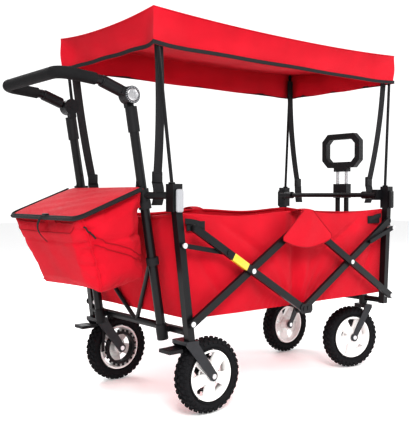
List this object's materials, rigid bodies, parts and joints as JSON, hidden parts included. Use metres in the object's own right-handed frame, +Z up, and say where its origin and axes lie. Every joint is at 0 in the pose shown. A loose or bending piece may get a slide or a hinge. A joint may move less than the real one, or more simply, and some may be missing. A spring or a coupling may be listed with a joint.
{
  "type": "folding wagon",
  "caption": "Folding four-wheeled pull wagon for children: fabric tub on scissor sides, box canopy on poles, push handle with storage bag and telescopic pull handle.",
  "frame": {"origin": "on the ground under the middle of the whole wagon", "axes": "+X from the push end to the pull end, +Z up, -Y the near side"},
  "size_m": [1.2374, 0.5494, 1.03],
  "materials": {
    "frame_black": "satin powder coat",
    "bar_black": "satin powder coat",
    "bright_steel": "plated",
    "rivet_white": "smooth",
    "black_plastic": "fine moulded grain",
    "fork_grey": "moulded",
    "knuckle_grey": "moulded",
    "rim_white": "moulded",
    "tyre_black": "block tread",
    "foam_black": "closed-cell foam",
    "red_fabric": "woven polyester",
    "floor_fabric": "padded board"
  },
  "bodies": {
    "push_frame": {"push_posts": "frame_black", "push_crossbar": "frame_black", "push_clamps": "black_plastic", "push_poles": "frame_black", "push_pins": "rivet_white", "rear_forks": "fork_grey", "rear_axles": "bright_steel", "handle_uprights": "frame_black", "handle_feet": "black_plastic", "knuckle_hubs": "black_plastic", "push_panel": "red_fabric", "tub_body": "red_fabric", "canopy": "red_fabric", "bag_shell": "red_fabric", "push_mat": "floor_fabric", "pull_mat": "floor_fabric"},
    "bag_lid": {"bag_lid": "red_fabric"},
    "push_handle": {"handle_arms": "frame_black", "handle_grip": "foam_black", "knuckle_discs": "black_plastic"},
    "near_brake": {"near_brake_pedal": "black_plastic"},
    "far_brake": {"far_brake_pedal": "black_plastic"},
    "near_rear_wheel": {"near_rear_tyre": "tyre_black", "near_rear_rim": "rim_white", "near_brake_ring": "black_plastic"},
    "far_rear_wheel": {"far_rear_tyre": "tyre_black", "far_rear_rim": "rim_white", "far_brake_ring": "black_plastic"},
    "rear_bars": {"rear_bars": "bar_black", "rear_bar_pins": "rivet_white"},
    "rear_cross_bars": {"rear_cross_bars": "bar_black"},
    "bottom_plates": {"bottom_plates": "bar_black"},
    "top_plates": {"top_plates": "bar_black", "pivot_covers": "red_fabric"},
    "front_bars": {"front_bars": "bar_black", "front_bar_pins": "rivet_white"},
    "front_cross_bars": {"front_cross_bars": "bar_black"},
    "push_links": {"push_links": "bar_black"},
    "pull_links": {"pull_links": "bar_black"},
    "pull_frame": {"pull_posts": "frame_black", "pull_crossbar": "frame_black", "pull_top_bar": "frame_black", "pull_clamps": "black_plastic", "pull_poles": "frame_black", "pull_pins": "rivet_white", "pull_panel": "red_fabric", "pull_bracket": "black_plastic"},
    "near_caster": {"near_caster_fork": "fork_grey", "near_caster_axle": "bright_steel"},
    "far_caster": {"far_caster_fork": "fork_grey", "far_caster_axle": "bright_steel"},
    "near_front_wheel": {"near_front_tyre": "tyre_black", "near_front_rim": "rim_white"},
    "far_front_wheel": {"far_front_tyre": "tyre_black", "far_front_rim": "rim_white"},
    "pull_handle": {"pull_column": "black_plastic"},
    "pull_grip": {"pull_rods": "bright_steel", "pull_loop": "black_plastic"}
  },
  "joints": [
    {"name": "side_fold", "type": "hinge", "parent": "push_frame", "child": "rear_bars", "pos_m": [-0.28866, 0, 0.245], "axis": [0, -1, 0], "range_deg": [0, 43.7], "deforming": ["tub_body", "push_mat", "pull_mat", "canopy"]},
    {"name": "top_plate_turn", "type": "hinge", "parent": "rear_bars", "child": "top_plates", "pos_m": [0.10952, 0, 0.4871], "axis": [0, -1, 0], "range_deg": [-43.7, 0]},
    {"name": "front_bar_turn", "type": "hinge", "parent": "top_plates", "child": "front_bars", "pos_m": [0.12551, 0, 0.4871], "axis": [0, -1, 0], "range_deg": [-43.7, 0]},
    {"name": "pull_frame_turn", "type": "hinge", "parent": "front_bars", "child": "pull_frame", "pos_m": [0.52369, 0, 0.245], "axis": [0, -1, 0], "range_deg": [0, 43.7]},
    {"name": "rear_cross_turn", "type": "hinge", "parent": "rear_bars", "child": "rear_cross_bars", "pos_m": [-0.08957, 0, 0.36605], "axis": [0, -1, 0], "range_deg": [-87.4, 0]},
    {"name": "bottom_plate_turn", "type": "hinge", "parent": "rear_cross_bars", "child": "bottom_plates", "pos_m": [0.10952, 0, 0.245], "axis": [0, -1, 0], "range_deg": [0, 43.7]},
    {"name": "front_cross_turn", "type": "hinge", "parent": "front_bars", "child": "front_cross_bars", "pos_m": [0.3246, 0, 0.36605], "axis": [0, -1, 0], "range_deg": [0, 87.4]},
    {"name": "push_link_turn", "type": "hinge", "parent": "push_frame", "child": "push_links", "pos_m": [-0.3131, 0, 0.444], "axis": [0, -1, 0], "range_deg": [0, 75.36]},
    {"name": "pull_link_turn", "type": "hinge", "parent": "pull_frame", "child": "pull_links", "pos_m": [0.53594, 0, 0.464], "axis": [0, -1, 0], "range_deg": [-88.12, 0]},
    {"name": "near_caster_swivel", "type": "hinge", "parent": "pull_frame", "child": "near_caster", "pos_m": [0.52369, -0.155, 0.215], "axis": [0, 0, 1], "continuous": true},
    {"name": "far_caster_swivel", "type": "hinge", "parent": "pull_frame", "child": "far_caster", "pos_m": [0.52369, 0.155, 0.215], "axis": [0, 0, 1], "continuous": true},
    {"name": "near_front_spin", "type": "hinge", "parent": "near_caster", "child": "near_front_wheel", "pos_m": [0.47057, -0.14077, 0.1], "axis": [0.2588, 0.9659, 0], "continuous": true},
    {"name": "far_front_spin", "type": "hinge", "parent": "far_caster", "child": "far_front_wheel", "pos_m": [0.46869, 0.155, 0.1], "axis": [0, 1, 0], "continuous": true},
    {"name": "near_rear_spin", "type": "hinge", "parent": "push_frame", "child": "near_rear_wheel", "pos_m": [-0.21366, -0.221, 0.1], "axis": [0, 1, 0], "continuous": true},
    {"name": "far_rear_spin", "type": "hinge", "parent": "push_frame", "child": "far_rear_wheel", "pos_m": [-0.21366, 0.221, 0.1], "axis": [0, 1, 0], "continuous": true},
    {"name": "near_brake_press", "type": "hinge", "parent": "push_frame", "child": "near_brake", "pos_m": [-0.27314, -0.221, 0.182], "axis": [0, -1, 0], "range_deg": [0, 2.8]},
    {"name": "far_brake_press", "type": "hinge", "parent": "push_frame", "child": "far_brake", "pos_m": [-0.27314, 0.221, 0.182], "axis": [0, -1, 0], "range_deg": [0, 2.8]},
    {"name": "push_handle_tilt", "type": "hinge", "parent": "push_frame", "child": "push_handle", "pos_m": [-0.41069, 0, 0.819], "axis": [0, 1, 0], "range_deg": [-45, 55]},
    {"name": "bag_lid_open", "type": "hinge", "parent": "push_frame", "child": "bag_lid", "pos_m": [-0.39116, 0, 0.596], "axis": [0, 1, 0], "range_deg": [0, 75]},
    {"name": "pull_handle_tilt", "type": "hinge", "parent": "pull_frame", "child": "pull_handle", "pos_m": [0.60969, 0, 0.24], "axis": [0, 1, 0], "range_deg": [0, 80]},
    {"name": "pull_handle_slide", "type": "slide", "parent": "pull_handle", "child": "pull_grip", "axis": [0, 0, 1], "range_m": [0, 0.27]}
  ],
  "couplings": [
    {"joint": "top_plate_turn", "follows": "side_fold", "ratio": -1},
    {"joint": "front_bar_turn", "follows": "side_fold", "ratio": -1},
    {"joint": "pull_frame_turn", "follows": "side_fold", "ratio": 1},
    {"joint": "rear_cross_turn", "follows": "side_fold", "ratio": -2},
    {"joint": "bottom_plate_turn", "follows": "side_fold", "ratio": 1},
    {"joint": "front_cross_turn", "follows": "side_fold", "ratio": 2},
    {"joint": "push_link_turn", "follows": "side_fold", "ratio": 1.7244},
    {"joint": "pull_link_turn", "follows": "side_fold", "ratio": -2.0162}
  ]
}
